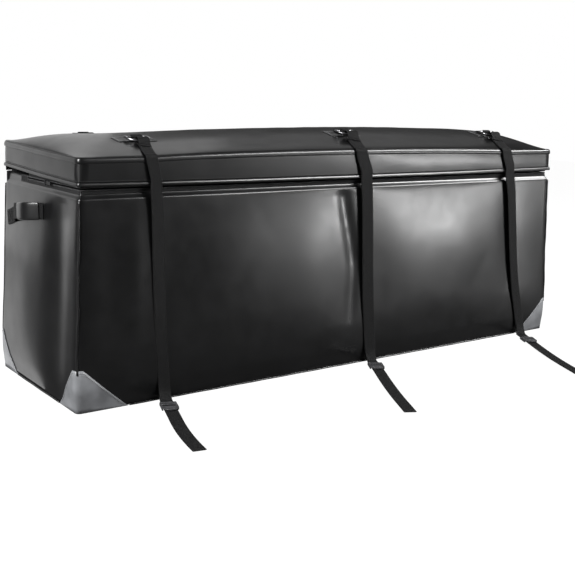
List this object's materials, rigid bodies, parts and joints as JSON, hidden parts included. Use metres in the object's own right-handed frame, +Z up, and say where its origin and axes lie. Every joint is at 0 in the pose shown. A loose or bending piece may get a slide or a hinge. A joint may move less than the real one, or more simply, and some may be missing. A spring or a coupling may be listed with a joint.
{
  "type": "soft hitch cargo carrier bag",
  "caption": "Boxy weatherproof cargo bag for a hitch-mounted tray, with a zipped crowned lid, end handles, grey corner guards, lid rings and buckled tie-down straps.",
  "frame": {"origin": "middle of the base, on the surface the bag stands on", "axes": "+X along the bag's length to its right end, +Y from the front with the straps to the lid's hinge, +Z up"},
  "size_m": [1.6214, 0.8524, 0.62],
  "materials": {
    "coated_fabric": "glossy black vinyl-coated fabric with a fine embossed grain",
    "piping": "glossy black vinyl welt",
    "guard_fabric": "grey coated reinforcement fabric, semi-matte",
    "zip_tape": "woven black tape",
    "zip_teeth": "moulded black zip teeth",
    "webbing": "ribbed woven black webbing",
    "grip": "vinyl sleeve, semi-gloss",
    "buckle_plastic": "moulded dark grey acetal, satin",
    "ring_steel": "plated steel wire",
    "zip_metal": "dark plated zinc"
  },
  "bodies": {
    "bag": {"base_panel": "coated_fabric", "front_panel": "coated_fabric", "back_panel": "coated_fabric", "left_panel": "coated_fabric", "right_panel": "coated_fabric", "corner_piping": "piping", "base_piping": "piping", "front_left_guard": "guard_fabric", "front_right_guard": "guard_fabric", "back_left_guard": "guard_fabric", "back_right_guard": "guard_fabric", "zip_band_front": "coated_fabric", "zip_band_left": "coated_fabric", "zip_band_right": "coated_fabric", "zip_tape_lower": "zip_tape", "zip_chain_lower": "zip_teeth", "zip_end_patches": "zip_tape", "hinge_strip": "zip_tape", "left_handle_webbing": "webbing", "left_handle_grip": "grip", "right_handle_webbing": "webbing", "right_handle_grip": "grip"},
    "lid": {"lid_top": "coated_fabric", "lid_front_flap": "coated_fabric", "lid_left_flap": "coated_fabric", "lid_right_flap": "coated_fabric", "lid_back_flap": "coated_fabric", "lid_edge_binding": "piping", "lid_hem": "piping", "zip_tape_upper": "zip_tape", "zip_chain_upper": "zip_teeth", "anchor_patches": "coated_fabric", "anchor_loops": "webbing", "strap_left_run": "webbing", "strap_middle_run": "webbing", "strap_right_run": "webbing"},
    "ring_front_left": {"ring_front_left": "ring_steel"},
    "ring_front_middle": {"ring_front_middle": "ring_steel"},
    "ring_front_right": {"ring_front_right": "ring_steel"},
    "ring_back_left": {"ring_back_left": "ring_steel"},
    "ring_back_middle": {"ring_back_middle": "ring_steel"},
    "ring_back_right": {"ring_back_right": "ring_steel"},
    "strap_left": {"strap_left_drop": "webbing"},
    "tail_left": {"strap_left_tail": "webbing"},
    "buckle_left": {"buckle_left": "buckle_plastic"},
    "strap_middle": {"strap_middle_drop": "webbing"},
    "tail_middle": {"strap_middle_tail": "webbing"},
    "buckle_middle": {"buckle_middle": "buckle_plastic"},
    "strap_right": {"strap_right_drop": "webbing"},
    "tail_right": {"strap_right_tail": "webbing"},
    "buckle_right": {"buckle_right": "buckle_plastic"},
    "slider_left": {"slider_left": "zip_metal"},
    "pull_left": {"pull_left": "zip_metal"},
    "slider_right": {"slider_right": "zip_metal"},
    "pull_right": {"pull_right": "zip_metal"}
  },
  "joints": [
    {"name": "lid_open", "type": "hinge", "parent": "bag", "child": "lid", "pos_m": [0, 0.2225, 0.498], "axis": [-1, 0, 0], "range_deg": [0, 110]},
    {"name": "ring_front_left_tilt", "type": "hinge", "parent": "lid", "child": "ring_front_left", "pos_m": [-0.594, -0.1272, 0.599], "axis": [-1, 0, 0], "range_deg": [-2, 2]},
    {"name": "ring_front_middle_tilt", "type": "hinge", "parent": "lid", "child": "ring_front_middle", "pos_m": [0.026, -0.1272, 0.6132], "axis": [-1, 0, 0], "range_deg": [-2, 2]},
    {"name": "ring_front_right_tilt", "type": "hinge", "parent": "lid", "child": "ring_front_right", "pos_m": [0.586, -0.1272, 0.6096], "axis": [-1, 0, 0], "range_deg": [-2, 2]},
    {"name": "ring_back_left_flop", "type": "hinge", "parent": "lid", "child": "ring_back_left", "pos_m": [-0.594, 0.15961, 0.59146], "axis": [1, 0, 0], "range_deg": [0, 150]},
    {"name": "ring_back_middle_flop", "type": "hinge", "parent": "lid", "child": "ring_back_middle", "pos_m": [0.026, 0.1602, 0.60124], "axis": [1, 0, 0], "range_deg": [0, 150]},
    {"name": "ring_back_right_flop", "type": "hinge", "parent": "lid", "child": "ring_back_right", "pos_m": [0.586, 0.16001, 0.59895], "axis": [1, 0, 0], "range_deg": [0, 150]},
    {"name": "strap_left_swing", "type": "hinge", "parent": "lid", "child": "strap_left", "pos_m": [-0.594, -0.229, 0.4965], "axis": [-1, 0, 0], "range_deg": [-53, 0]},
    {"name": "tail_left_swing", "type": "hinge", "parent": "strap_left", "child": "tail_left", "pos_m": [-0.57384, -0.257, 0.0036], "axis": [-0.9397, 0.342, 0], "range_deg": [-91, 0]},
    {"name": "buckle_left_slide", "type": "slide", "parent": "tail_left", "child": "buckle_left", "axis": [-0.342, -0.9397, 0], "range_m": [0, 0.06]},
    {"name": "strap_middle_swing", "type": "hinge", "parent": "lid", "child": "strap_middle", "pos_m": [0.026, -0.229, 0.4965], "axis": [-1, 0, 0], "range_deg": [-53, 0]},
    {"name": "tail_middle_swing", "type": "hinge", "parent": "strap_middle", "child": "tail_middle", "pos_m": [0.04976, -0.257, 0.0036], "axis": [-0.8572, 0.515, 0], "range_deg": [-91, 0]},
    {"name": "buckle_middle_slide", "type": "slide", "parent": "tail_middle", "child": "buckle_middle", "axis": [-0.515, -0.8572, 0], "range_m": [0, 0.06]},
    {"name": "strap_right_swing", "type": "hinge", "parent": "lid", "child": "strap_right", "pos_m": [0.586, -0.229, 0.4965], "axis": [-1, 0, 0], "range_deg": [-53, 0]},
    {"name": "tail_right_swing", "type": "hinge", "parent": "strap_right", "child": "tail_right", "pos_m": [0.64288, -0.257, 0.0036], "axis": [-0.8572, 0.515, 0], "range_deg": [-91, 0]},
    {"name": "buckle_right_slide", "type": "slide", "parent": "tail_right", "child": "buckle_right", "axis": [-0.515, -0.8572, 0], "range_m": [0, 0.06]},
    {"name": "slider_left_slide", "type": "slide", "parent": "bag", "child": "slider_left", "axis": [0, 1, 0], "range_m": [-0.155, 0.115]},
    {"name": "pull_left_swing", "type": "hinge", "parent": "slider_left", "child": "pull_left", "pos_m": [-0.7768, -0.04, 0.491], "axis": [0, 0, -1], "range_deg": [0, 170]},
    {"name": "slider_right_slide", "type": "slide", "parent": "bag", "child": "slider_right", "axis": [0, 1, 0], "range_m": [-0.155, 0.115]},
    {"name": "pull_right_swing", "type": "hinge", "parent": "slider_right", "child": "pull_right", "pos_m": [0.7768, -0.04, 0.491], "axis": [0, 0, 1], "range_deg": [0, 170]}
  ],
  "couplings": [
    {"joint": "strap_left_swing", "follows": "lid_open", "ratio": -0.475},
    {"joint": "tail_left_swing", "follows": "lid_open", "ratio": -0.818},
    {"joint": "strap_middle_swing", "follows": "lid_open", "ratio": -0.475},
    {"joint": "tail_middle_swing", "follows": "lid_open", "ratio": -0.818},
    {"joint": "strap_right_swing", "follows": "lid_open", "ratio": -0.475},
    {"joint": "tail_right_swing", "follows": "lid_open", "ratio": -0.818}
  ]
}
